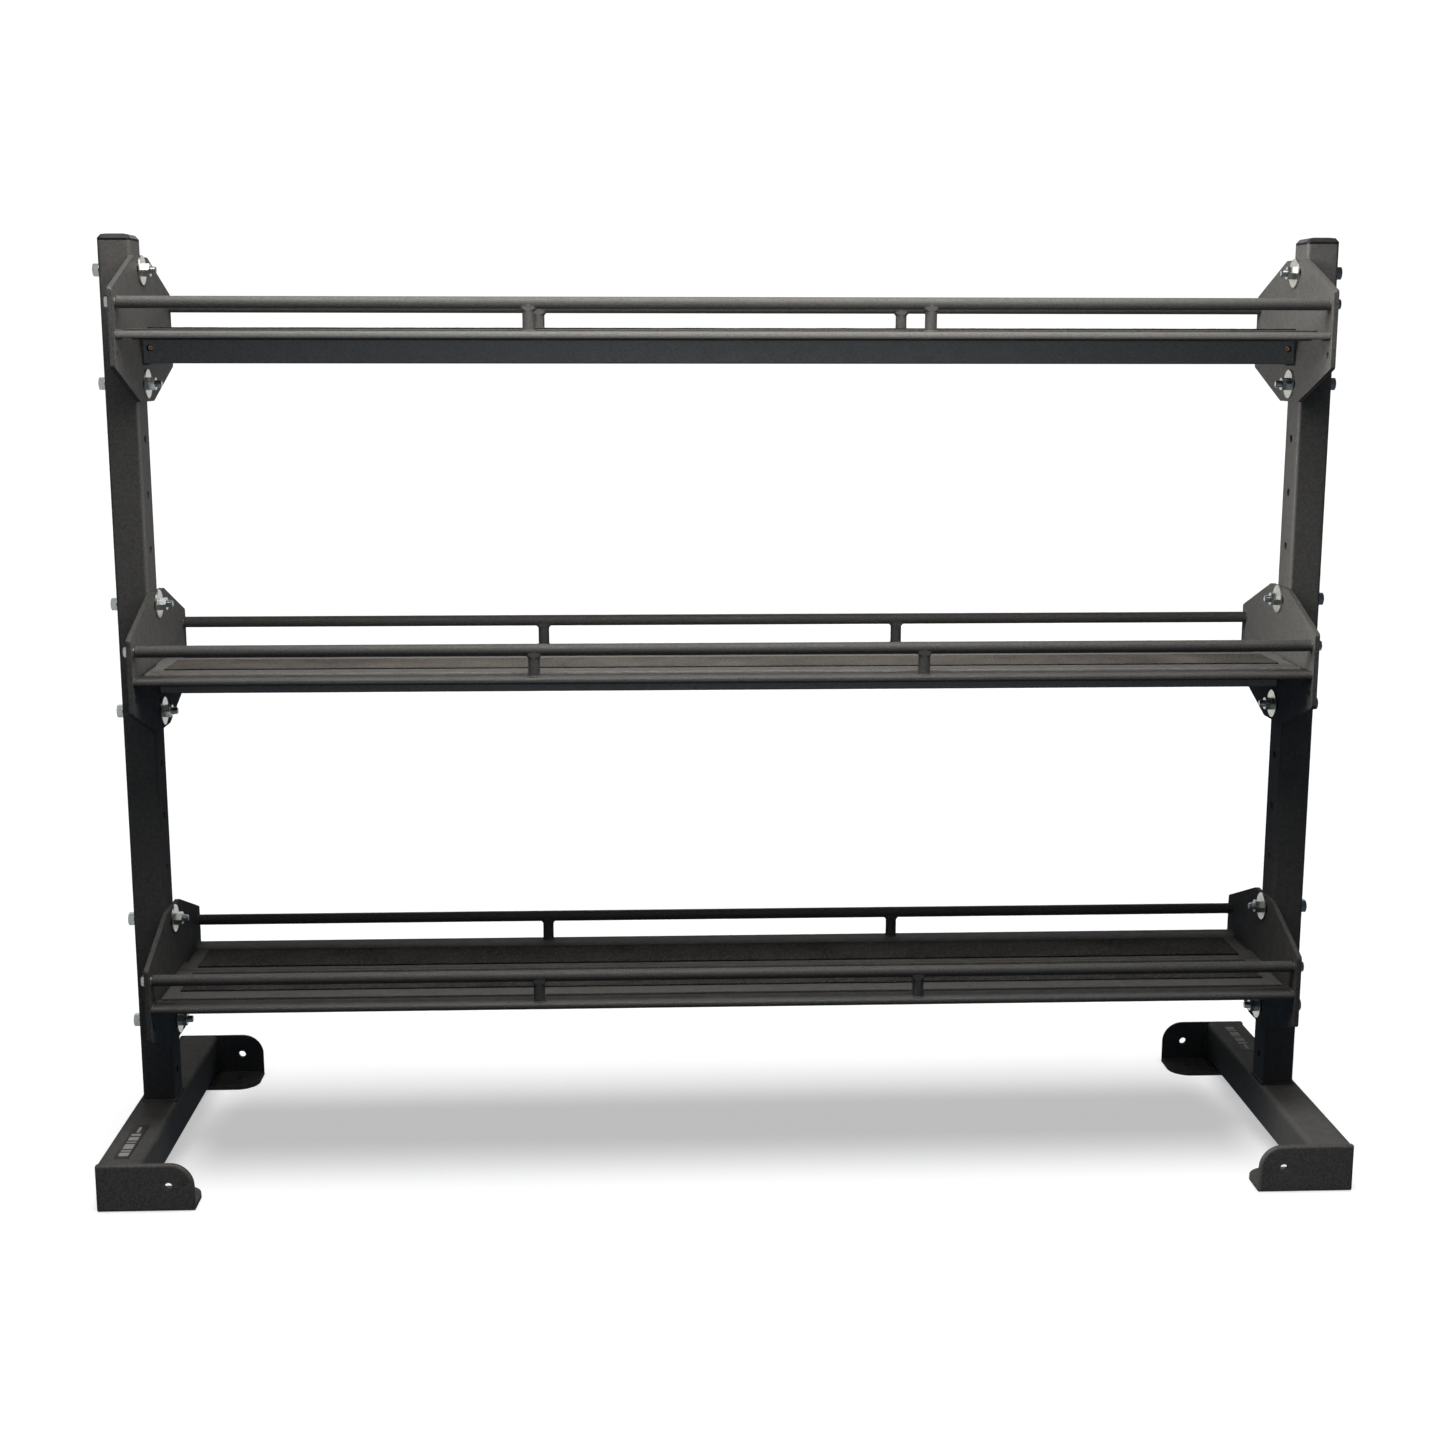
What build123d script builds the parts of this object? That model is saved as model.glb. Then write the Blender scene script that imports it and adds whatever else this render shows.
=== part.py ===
from build123d import *

import math
import os

# Three-shelf bolted dumbbell rack, in millimetres.
# Frame: +X runs along the shelves to the right, +Y runs from front to rear, +Z is up.
# Origin: centre of the footprint, on the floor under the feet.

# ---- perforated uprights -------------------------------------------------------------
HOLE_PITCH = 76.2  # 3 in hole spacing of the upright perforation
HOLE_COUNT = 16  # holes down each upright
HOLE_D = 11.0  # clearance hole for the M10 size frame bolts
TOP_HOLE_Z = 1249.2  # height of the highest hole
UPRIGHT_OUTER_X = 848.0
UPRIGHT_INNER_X = 803.0
UPRIGHT_DEPTH = 55.0
UPRIGHT_TOP_Z = 1287.6
UPRIGHT_WALL = 3.0
UPRIGHT_CORNER_R = 5.0
CAP_HEIGHT = 9.4
CAP_PLUG = 16.0
CAP_SKIRT = 3.0
CAP_SHOULDER = 5.2
CAP_SHOULDER_TAPER = 42.0
CAP_CROWN_TAPER = 80.0

# ---- feet ----------------------------------------------------------------------------
FOOT_OUTER_X = 858.0
FOOT_INNER_X = 798.0
FOOT_TOP_Z = 66.7
FOOT_HALF_LENGTH = 261.3  # to the outer faces of the end brackets
FOOT_CORNER_R = 8.0
BRACKET_T = 6.35
BRACKET_INNER_X = 727.0
BRACKET_FLANGE = 71.5
BRACKET_CORNER_R = 32.0
BRACKET_OUTER_R = 3.5
BRACKET_LOWER_R = 2.0
BRACKET_HOLE_X = 760.6
BRACKET_HOLE_Z = 35.1
BRACKET_HOLE_D = 11.0
FLANGE_HOLE_INSET = 39.5  # from the outer face of the bracket
BEND_R = 4.0
LABEL_WIDTH = 21.0
LABEL_LENGTH = 119.0
LABEL_T = 0.4
LABEL_Y = -178.5
LABEL_X = 827.5

# ---- shelf side plates ---------------------------------------------------------------
SHELF_HOLES = {"upper": 0, "middle": 6, "lower": 12}  # first upright hole of each shelf
PLATE_T = 6.35
PLATE_HALF_DEPTH = 165.0
PLATE_HALF_HEIGHT = 97.5
PLATE_EDGE_HALF = 50.8  # half height of the vertical front and rear edges
PLATE_FLAT_HALF = 38.0  # half width of the flat top and bottom edges
PLATE_CENTRE_DROP = 79.2  # outline centre below the upper frame bolt
PLATE_CORNER_R = 5.0
SLOT_LENGTH = 48.0
SLOT_HEIGHT = 13.0
RAIL_HOLE_D = 9.0
SPARE_HOLE_DROP = 112.6  # spare rail hole below the upper frame bolt

# ---- shelf tray ----------------------------------------------------------------------
RAIL_D = 15.9
RAIL_Y = 150.0
RAIL_DROP = 45.8  # rail axis below the upper frame bolt
RAIL_WASHER_T = 2.0
POST_X = 264.3
POST_FLARE_R = 10.6
POST_FLARE_H = 3.0
BAR_TOP_DROP = 82.2
BAR_T = 9.5
BAR_FRONT_Y = 161.4
BAR_WIDTH = 38.1
BAR_OUTER_R = 4.2  # nearly full round nose
BAR_INNER_R = 2.0
TRAY_T = 3.0
TRAY_OUTER_Y = 128.0
TRAY_GAP = 2.0
TRAY_HALF_LENGTH = 789.5
TRAY_TAB_HALF_LENGTH = 794.6
TRAY_TAB_Y = 40.0
MAT_T = 2.5
MAT_INNER_Y = 12.0
MAT_OUTER_Y = 100.0
MAT_HALF_LENGTH = 772.0
RIB_WIDTH = 38.1
RIB_X = [-770.0, -514.0, -257.0, 0.0, 257.0, 514.0, 770.0]
BEAM_WIDTH = 38.1
BEAM_HEIGHT = 33.2
BEAM_WALL = 2.5
BEAM_CORNER_R = 3.0
BEAM_HOLE_D = 9.0
BEAM_HOLE_INSET = 10.5
BEAM_HOLE_DROP = 12.5

# ---- hardware ------------------------------------------------------------------------
BOLT_D = 9.6
BOLT_HEAD_AF = 17.0
BOLT_HEAD_T = 8.0
BOLT_TIP_X = 776.2
FLAT_WASHER_D = 22.0
FLAT_WASHER_T = 2.0
LOCK_WASHER_D = 17.6
LOCK_WASHER_T = 2.5
LOCK_WASHER_SPLIT = 1.6
FENDER_D = 40.0
FENDER_T = 2.5
FENDER_EDGE_R = 0.6
NUT_AF = 17.0
NUT_T = 10.0
RAIL_BOLT_D = 7.8
RAIL_BOLT_AF = 13.0
RAIL_BOLT_HEAD_T = 6.5
RAIL_BOLT_LENGTH = 28.0
RAIL_BORE_DEPTH = 26.0
RAIL_WASHER_D = 12.6
FIT = 0.2  # diametral clearance where a bolt passes a washer, nut or tapped bore

PLATE_INNER_X = UPRIGHT_INNER_X - PLATE_T
UPRIGHT_X = (UPRIGHT_OUTER_X + UPRIGHT_INNER_X) / 2
RAIL_HALF_LENGTH = PLATE_INNER_X - RAIL_WASHER_T
SIDES = {"left": -1, "right": 1}
ENDS = {"front": -1, "rear": 1}


def along_x(x, y, z, side):
    """Frame whose local +Z runs outward along X on the given side of the rack."""
    return Plane(origin=(x, y, z), x_dir=(0, 1, 0), z_dir=(side, 0, 0))


def outward_cylinder(diameter, start_x, end_x, y, z, side):
    """Solid rod running from start_x to end_x, measured outward from the rack centre."""
    length = end_x - start_x
    rod = Cylinder(diameter / 2, length, align=(Align.CENTER, Align.CENTER, Align.MIN))
    return along_x(side * start_x, y, z, side) * rod


def outward_hexagon(across_flats, start_x, end_x, y, z, side, chamfered_start):
    """Hexagonal prism with one face turned down to the usual 30 degree chamfer."""
    length = end_x - start_x
    corner_r = across_flats / math.sqrt(3)
    prism = extrude(RegularPolygon(corner_r, 6), length)
    drop = (corner_r - across_flats / 2) * math.tan(math.radians(30))
    turned = Cylinder(corner_r, length, align=(Align.CENTER, Align.CENTER, Align.MIN))
    rim = turned.edges().filter_by(GeomType.CIRCLE).sort_by(Axis.Z)
    turned = chamfer(rim[0] if chamfered_start else rim[-1], drop, corner_r - across_flats / 2)
    return along_x(side * start_x, y, z, side) * (prism & turned)


def ring(outer_d, inner_d, start_x, end_x, y, z, side):
    """Plain washer with its axis along X."""
    body = outward_cylinder(outer_d, start_x, end_x, y, z, side)
    return body - outward_cylinder(inner_d, start_x - 1, end_x + 1, y, z, side)


def rectangular_tube(width, depth, length, corner_r, wall):
    """Square cut hollow section standing on the local XY plane."""
    outer = RectangleRounded(width, depth, corner_r)
    inner = RectangleRounded(width - 2 * wall, depth - 2 * wall, max(corner_r - wall, 0.8))
    return extrude(outer - inner, length)


def group(name, solids):
    """One part file holding several separate, identical pieces."""
    save(name, Compound(children=solids))


def save(name, shape):
    shape.label = name
    export_step(shape, f"parts/{name}.step")


def hole_height(index):
    return TOP_HOLE_Z - index * HOLE_PITCH


def upright(side):
    """Perforated column, square cut at both ends and standing on the foot tube."""
    width = UPRIGHT_OUTER_X - UPRIGHT_INNER_X
    height = UPRIGHT_TOP_Z - FOOT_TOP_Z
    tube = rectangular_tube(width, UPRIGHT_DEPTH, height, UPRIGHT_CORNER_R, UPRIGHT_WALL)
    tube = Pos(side * UPRIGHT_X, 0, FOOT_TOP_Z) * tube
    for index in range(HOLE_COUNT):
        z = hole_height(index)
        tube -= outward_cylinder(HOLE_D, UPRIGHT_INNER_X - 1, UPRIGHT_OUTER_X + 1, 0, z, side)
    return tube


def upright_cap(side):
    """Moulded end plug: a lid with sloping shoulders and a low crown, and a hollow plug inside."""
    width = UPRIGHT_OUTER_X - UPRIGHT_INNER_X
    skirt = extrude(RectangleRounded(width, UPRIGHT_DEPTH, UPRIGHT_CORNER_R), CAP_SKIRT)
    shoulder = extrude(skirt.faces().sort_by(Axis.Z)[-1], CAP_SHOULDER, taper=CAP_SHOULDER_TAPER)
    rise = CAP_HEIGHT - CAP_SKIRT - CAP_SHOULDER
    crown = extrude(shoulder.faces().sort_by(Axis.Z)[-1], rise, taper=CAP_CROWN_TAPER)
    lid = skirt + shoulder + crown
    clear = 2 * UPRIGHT_WALL + 0.6
    plug = extrude(RectangleRounded(width - clear, UPRIGHT_DEPTH - clear, 1.5), -CAP_PLUG)
    plug -= extrude(RectangleRounded(width - clear - 5, UPRIGHT_DEPTH - clear - 5, 1.0), -CAP_PLUG)
    return Pos(side * UPRIGHT_X, 0, UPRIGHT_TOP_Z) * (lid + plug)


def foot_tube(side):
    """Floor tube running front to rear, carried on the flanges of the end brackets."""
    width = FOOT_OUTER_X - FOOT_INNER_X
    height = FOOT_TOP_Z - BRACKET_T
    length = 2 * (FOOT_HALF_LENGTH - BRACKET_T)
    tube = rectangular_tube(width, height, length, FOOT_CORNER_R, UPRIGHT_WALL)
    frame = Plane(
        origin=(side * (FOOT_OUTER_X + FOOT_INNER_X) / 2, -length / 2, BRACKET_T + height / 2),
        x_dir=(-1, 0, 0),
        z_dir=(0, 1, 0),
    )
    return frame * tube


def foot_bracket(side, end):
    """Formed angle closing one end of a foot, with a lug reaching inward and a floor flange."""
    run = FOOT_OUTER_X - BRACKET_INNER_X
    mid_x = (FOOT_OUTER_X + BRACKET_INNER_X) / 2
    flange_mid = FOOT_HALF_LENGTH - BRACKET_FLANGE / 2
    web = Box(run, BRACKET_T, FOOT_TOP_Z, align=(Align.CENTER, Align.MAX, Align.MIN))
    web = Pos(mid_x, FOOT_HALF_LENGTH, 0) * web
    flange = Box(run, BRACKET_FLANGE, BRACKET_T, align=(Align.CENTER, Align.CENTER, Align.MIN))
    flange = Pos(mid_x, flange_mid, 0) * flange
    body = web + flange
    uprights = body.edges().filter_by(Axis.Y).filter_by_position(Axis.Z, FOOT_TOP_Z, FOOT_TOP_Z)
    body = fillet(uprights.sort_by(Axis.X)[0], BRACKET_CORNER_R)
    outer = body.edges().filter_by(Axis.Y).filter_by_position(Axis.X, FOOT_OUTER_X, FOOT_OUTER_X)
    body = fillet(outer.sort_by(Axis.Z)[-1], BRACKET_OUTER_R)
    sole = body.edges().filter_by(Axis.Y).filter_by_position(Axis.Z, 0, 0)
    body = fillet(sole.sort_by(Axis.X)[-1], BRACKET_LOWER_R)
    flange_tip = FOOT_HALF_LENGTH - BRACKET_FLANGE
    tips = body.edges().filter_by(Axis.Z).filter_by_position(Axis.Y, flange_tip, flange_tip)
    body = fillet(tips.sort_by(Axis.X)[0], BRACKET_CORNER_R)
    heel = body.edges().filter_by(Axis.X).filter_by_position(Axis.Z, 0, 0)
    body = fillet(heel.sort_by(Axis.Y)[-1], BEND_R)
    lug_hole = Cylinder(BRACKET_HOLE_D / 2, 4 * BRACKET_T, rotation=(90, 0, 0))
    body -= Pos(BRACKET_HOLE_X, FOOT_HALF_LENGTH, BRACKET_HOLE_Z) * lug_hole
    anchor_hole = Cylinder(BRACKET_HOLE_D / 2, 4 * BRACKET_T)
    body -= Pos(BRACKET_HOLE_X, FOOT_HALF_LENGTH - FLANGE_HOLE_INSET, 0) * anchor_hole
    if end < 0:
        body = mirror(body, about=Plane.XZ)
    if side < 0:
        body = mirror(body, about=Plane.YZ)
    return body


def foot_label(side):
    """Plain adhesive strip on the foot, near the front on the left and the rear on the right."""
    strip = extrude(RectangleRounded(LABEL_WIDTH, LABEL_LENGTH, 1.5), LABEL_T)
    return Pos(side * LABEL_X, -side * LABEL_Y, FOOT_TOP_Z) * strip


def side_plate(side, top):
    """Eight-sided gusset plate with two slotted frame holes and four rail holes."""
    corners = [
        (-PLATE_HALF_DEPTH, -PLATE_EDGE_HALF),
        (-PLATE_FLAT_HALF, -PLATE_HALF_HEIGHT),
        (PLATE_FLAT_HALF, -PLATE_HALF_HEIGHT),
        (PLATE_HALF_DEPTH, -PLATE_EDGE_HALF),
        (PLATE_HALF_DEPTH, PLATE_EDGE_HALF),
        (PLATE_FLAT_HALF, PLATE_HALF_HEIGHT),
        (-PLATE_FLAT_HALF, PLATE_HALF_HEIGHT),
        (-PLATE_HALF_DEPTH, PLATE_EDGE_HALF),
    ]
    outline = make_face(Polyline(*corners, close=True))
    outline = fillet(outline.vertices(), PLATE_CORNER_R)
    for drop in (0, 2 * HOLE_PITCH):
        outline -= Pos(0, PLATE_CENTRE_DROP - drop) * SlotOverall(SLOT_LENGTH, SLOT_HEIGHT)
    for drop in (RAIL_DROP, SPARE_HOLE_DROP):
        for y in (-RAIL_Y, RAIL_Y):
            outline -= Pos(y, PLATE_CENTRE_DROP - drop) * Circle(RAIL_HOLE_D / 2)
    frame = Plane(
        origin=(side * UPRIGHT_INNER_X, 0, top - PLATE_CENTRE_DROP), x_dir=(0, side, 0), z_dir=(side, 0, 0)
    )
    return frame * extrude(outline, -PLATE_T)


def edge_bar(end, top):
    """Bar along one long edge of the shelf, with a round nose on its outward edge."""
    bar = Box(2 * PLATE_INNER_X, BAR_WIDTH, BAR_T)
    for y, radius in ((end * BAR_WIDTH / 2, BAR_OUTER_R), (-end * BAR_WIDTH / 2, BAR_INNER_R)):
        edges = bar.edges().filter_by(Axis.X).filter_by_position(Axis.Y, y, y)
        bar = fillet(edges, radius)
    return Pos(0, end * (BAR_FRONT_Y - BAR_WIDTH / 2), top - BAR_TOP_DROP - BAR_T / 2) * bar


def tray(end, top):
    """Half-depth deck sheet with a short tab at each inner corner reaching the side plates."""
    near = TRAY_GAP / 2
    corners = [
        (-TRAY_TAB_HALF_LENGTH, near),
        (TRAY_TAB_HALF_LENGTH, near),
        (TRAY_TAB_HALF_LENGTH, TRAY_TAB_Y),
        (TRAY_HALF_LENGTH, TRAY_TAB_Y),
        (TRAY_HALF_LENGTH, TRAY_OUTER_Y),
        (-TRAY_HALF_LENGTH, TRAY_OUTER_Y),
        (-TRAY_HALF_LENGTH, TRAY_TAB_Y),
        (-TRAY_TAB_HALF_LENGTH, TRAY_TAB_Y),
    ]
    sheet = extrude(make_face(Polyline(*corners, close=True)), TRAY_T)
    rim = sheet.faces().sort_by(Axis.Z)[-1].edges().filter_by(Axis.X)
    sheet = fillet(rim.sort_by(Axis.Y)[-1], 1.2)
    if end < 0:
        sheet = mirror(sheet, about=Plane.XZ)
    return Pos(0, 0, top - BAR_TOP_DROP) * sheet


def mat(end, top):
    """Crumb rubber strip glued to the tray."""
    width = MAT_OUTER_Y - MAT_INNER_Y
    strip = Box(2 * MAT_HALF_LENGTH, width, MAT_T, align=(Align.CENTER, Align.CENTER, Align.MIN))
    strip = fillet(strip.edges().filter_by(Axis.Z), 2.0)
    y = end * (MAT_OUTER_Y + MAT_INNER_Y) / 2
    return Pos(0, y, top - BAR_TOP_DROP + TRAY_T) * strip


def support_beam(top):
    """Hollow beam under the middle of the shelf, with a drain hole near each end."""
    tube = rectangular_tube(BEAM_WIDTH, BEAM_HEIGHT, 2 * PLATE_INNER_X, BEAM_CORNER_R, BEAM_WALL)
    beam_top = top - BAR_TOP_DROP - BAR_T
    frame = Plane(
        origin=(-PLATE_INNER_X, 0, beam_top - BEAM_HEIGHT / 2), x_dir=(0, 1, 0), z_dir=(1, 0, 0)
    )
    tube = frame * tube
    drain = Cylinder(BEAM_HOLE_D / 2, BEAM_WIDTH / 2, rotation=(90, 0, 0))
    for side in SIDES.values():
        x = side * (PLATE_INNER_X - BEAM_HOLE_INSET)
        tube -= Pos(x, -BEAM_WIDTH / 2, beam_top - BEAM_HOLE_DROP) * drain
    return tube


def cross_ribs(top):
    """Flat bars laid front to rear between the edge bars, carrying the trays on the beam."""
    reach = 2 * (BAR_FRONT_Y - BAR_WIDTH)
    rib = Box(RIB_WIDTH, reach, BAR_T)
    return [Pos(x, 0, top - BAR_TOP_DROP - BAR_T / 2) * rib for x in RIB_X]


def rail(end, top):
    """Round guard rail with a tapped bore in each end."""
    z = top - RAIL_DROP
    bar = Pos(0, end * RAIL_Y, z) * Cylinder(RAIL_D / 2, 2 * RAIL_HALF_LENGTH, rotation=(0, 90, 0))
    bar = chamfer(bar.edges().filter_by(GeomType.CIRCLE), 0.8)
    start = RAIL_HALF_LENGTH - RAIL_BORE_DEPTH
    for side in SIDES.values():
        bore = outward_cylinder(RAIL_BOLT_D + FIT, start, RAIL_HALF_LENGTH + 1, end * RAIL_Y, z, side)
        bar -= bore
    return bar


def rail_posts(top):
    """Short round posts coped to the rails and flared by the weld under each rail."""
    base_z = top - BAR_TOP_DROP
    rail_z = top - RAIL_DROP
    rise = rail_z - base_z
    stem = Cylinder(RAIL_D / 2, rise, align=(Align.CENTER, Align.CENTER, Align.MIN))
    flare_z = rise - RAIL_D / 2 - POST_FLARE_H
    flare = Cone(RAIL_D / 2, POST_FLARE_R, POST_FLARE_H, align=(Align.CENTER, Align.CENTER, Align.MIN))
    crown = Cylinder(POST_FLARE_R, 4.0, align=(Align.CENTER, Align.CENTER, Align.MIN))
    rail_cut = Pos(0, 0, rise) * Cylinder(RAIL_D / 2, 3 * RAIL_D, rotation=(0, 90, 0))
    crown_band = Box(4 * POST_FLARE_R, RAIL_D, 2 * rise)
    top_piece = (Pos(0, 0, flare_z) * flare) + (Pos(0, 0, flare_z + POST_FLARE_H) * crown)
    post = stem + (top_piece & crown_band) - rail_cut
    return [Pos(x, end * RAIL_Y, base_z) * post for end in ENDS.values() for x in (-POST_X, POST_X)]


def frame_bolt(side, z):
    head_start = UPRIGHT_OUTER_X + FLAT_WASHER_T + LOCK_WASHER_T
    shank = outward_cylinder(BOLT_D, BOLT_TIP_X, head_start + 1, 0, z, side)
    tip = shank.edges().filter_by(GeomType.CIRCLE).sort_by(Axis.X)
    shank = chamfer(tip[0] if side > 0 else tip[-1], 1.2)
    return shank + outward_hexagon(
        BOLT_HEAD_AF, head_start, head_start + BOLT_HEAD_T, 0, z, side, False
    )


def flat_washer(side, z):
    start = UPRIGHT_OUTER_X
    return ring(FLAT_WASHER_D, BOLT_D + FIT, start, start + FLAT_WASHER_T, 0, z, side)


def lock_washer(side, z):
    """Spring washer with a slanted split at the top."""
    start = UPRIGHT_OUTER_X + FLAT_WASHER_T
    body = ring(LOCK_WASHER_D, BOLT_D + FIT, start, start + LOCK_WASHER_T, 0, z, side)
    split = Box(3 * LOCK_WASHER_T, LOCK_WASHER_SPLIT, LOCK_WASHER_D)
    split = Pos(side * (start + LOCK_WASHER_T / 2), 0, z + LOCK_WASHER_D / 2) * Rot(0, 0, 25) * split
    return body - split


def fender_washer(side, z):
    end = PLATE_INNER_X
    disc = outward_cylinder(FENDER_D, end - FENDER_T, end, 0, z, side)
    disc = fillet(disc.edges().filter_by(GeomType.CIRCLE), FENDER_EDGE_R)
    return disc - outward_cylinder(BOLT_D + FIT, end - FENDER_T - 1, end + 1, 0, z, side)


def frame_nut(side, z):
    end = PLATE_INNER_X - FENDER_T
    body = outward_hexagon(NUT_AF, end - NUT_T, end, 0, z, side, True)
    return body - outward_cylinder(BOLT_D + FIT, end - NUT_T - 1, end + 1, 0, z, side)


def rail_bolt(side, end, z):
    y = end * RAIL_Y
    seat = UPRIGHT_INNER_X
    shank = outward_cylinder(RAIL_BOLT_D, seat - RAIL_BOLT_LENGTH, seat + 1, y, z, side)
    return shank + outward_hexagon(RAIL_BOLT_AF, seat, seat + RAIL_BOLT_HEAD_T, y, z, side, False)


def rail_washer(side, end, z):
    start = PLATE_INNER_X - RAIL_WASHER_T
    return ring(RAIL_WASHER_D, RAIL_BOLT_D + FIT, start, PLATE_INNER_X, end * RAIL_Y, z, side)


def build():
    os.makedirs("parts", exist_ok=True)
    for side_name, side in SIDES.items():
        save(f"upright_{side_name}", upright(side))
        save(f"upright_cap_{side_name}", upright_cap(side))
        save(f"foot_tube_{side_name}", foot_tube(side))
        save(f"foot_label_{side_name}", foot_label(side))
        for end_name, end in ENDS.items():
            save(f"foot_bracket_{end_name}_{side_name}", foot_bracket(side, end))

    for shelf, first_hole in SHELF_HOLES.items():
        top = hole_height(first_hole)
        for side_name, side in SIDES.items():
            save(f"{shelf}_side_plate_{side_name}", side_plate(side, top))
        for end_name, end in ENDS.items():
            save(f"{shelf}_edge_bar_{end_name}", edge_bar(end, top))
            save(f"{shelf}_tray_{end_name}", tray(end, top))
            save(f"{shelf}_mat_{end_name}", mat(end, top))
            save(f"{shelf}_rail_{end_name}", rail(end, top))
        save(f"{shelf}_support_beam", support_beam(top))
        group(f"{shelf}_cross_ribs", cross_ribs(top))
        group(f"{shelf}_rail_posts", rail_posts(top))

    tops = [hole_height(first) for first in SHELF_HOLES.values()]
    frame_bolts = [(s, t - d) for s in SIDES.values() for t in tops for d in (0, 2 * HOLE_PITCH)]
    rail_bolts = [(s, e, t - RAIL_DROP) for s in SIDES.values() for e in ENDS.values() for t in tops]
    group("frame_bolts", [frame_bolt(*at) for at in frame_bolts])
    group("frame_flat_washers", [flat_washer(*at) for at in frame_bolts])
    group("frame_lock_washers", [lock_washer(*at) for at in frame_bolts])
    group("frame_fender_washers", [fender_washer(*at) for at in frame_bolts])
    group("frame_nuts", [frame_nut(*at) for at in frame_bolts])
    group("rail_bolts", [rail_bolt(*at) for at in rail_bolts])
    group("rail_washers", [rail_washer(*at) for at in rail_bolts])


build()
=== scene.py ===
import math

import bmesh
import bpy
from mathutils import Matrix, Vector, noise

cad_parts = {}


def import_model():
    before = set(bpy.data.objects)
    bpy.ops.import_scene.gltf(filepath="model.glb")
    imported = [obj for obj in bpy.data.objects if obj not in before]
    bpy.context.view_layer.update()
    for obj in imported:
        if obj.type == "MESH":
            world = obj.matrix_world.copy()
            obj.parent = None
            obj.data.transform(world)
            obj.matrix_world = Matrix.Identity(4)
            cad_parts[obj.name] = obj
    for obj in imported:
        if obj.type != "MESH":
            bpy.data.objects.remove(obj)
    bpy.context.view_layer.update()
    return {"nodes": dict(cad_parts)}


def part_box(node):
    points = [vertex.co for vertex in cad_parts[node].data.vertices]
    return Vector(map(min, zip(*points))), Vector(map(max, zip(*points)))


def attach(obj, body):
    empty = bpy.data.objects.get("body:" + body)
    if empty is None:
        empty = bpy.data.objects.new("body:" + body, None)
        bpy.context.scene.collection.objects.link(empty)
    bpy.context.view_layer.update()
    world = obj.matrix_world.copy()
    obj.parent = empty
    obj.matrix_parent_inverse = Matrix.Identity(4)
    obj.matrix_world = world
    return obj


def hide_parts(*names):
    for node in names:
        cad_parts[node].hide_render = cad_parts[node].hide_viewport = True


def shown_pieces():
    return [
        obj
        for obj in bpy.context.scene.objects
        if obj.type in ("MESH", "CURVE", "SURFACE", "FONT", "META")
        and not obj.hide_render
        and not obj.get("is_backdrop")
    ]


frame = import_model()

NODES = frame["nodes"]
SIDES = {"left": -1, "right": 1}
ENDS = {"front": -1, "rear": 1}
SHELVES = ("upper", "middle", "lower")
RIB_X = (-0.770, -0.514, -0.257, 0.0, 0.257, 0.514, 0.770)

TOP_HOLE_Z = 1.2492
HOLE_PITCH = 0.0762
FIRST_HOLE = {"upper": 0, "middle": 6, "lower": 12}
HOLES_BETWEEN_BOLTS = 2
NUT_FACE_X = 0.78415
TIP_X = 0.7762
TIP_CHAMFER = 0.0012
THREAD_ROOT = 0.00475
THREAD_CREST = 0.00520
THREAD_PITCH = 0.0015
THREAD_AROUND = 28
THREAD_ROWS_PER_TURN = 8

BEAD_SIDES = 10
BEAD_STEP = 0.0006
BEAD_END_SHRINK = 0.35
POST_RING_POINTS = 28
RIB_STITCH_HALF = 0.014
BRACKET_LUG_X = 0.806

MAT_STEP = 0.0030
INSERT_AROUND = 24
INSERT_INSET = 0.0115
INSERT_DROP = 0.0122
INSERT_INNER_R = 0.0012
INSERT_OUTER_R = 0.0033
INSERT_DEPTHS = (0.0012, 0.0070)

FLOOR_HALF = 30.0
DOME_RADIUS = 28.0

# Each bar of the label: start and stop along the strip, near and far edge across it.
LABEL_BARS = (
    (0.07, 0.17, 0.18, 0.82),
    (0.20, 0.24, 0.18, 0.82),
    (0.28, 0.42, 0.18, 0.82),
    (0.46, 0.49, 0.18, 0.82),
    (0.53, 0.63, 0.18, 0.82),
    (0.67, 0.73, 0.18, 0.82),
    (0.77, 0.93, 0.40, 0.60),
)
CHARCOAL = (0.080, 0.079, 0.077)
WARM = (1.0, 0.985, 0.955)
PAPER = (1.0, 0.985, 0.94)
COOL = (0.80, 0.90, 1.0)


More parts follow.
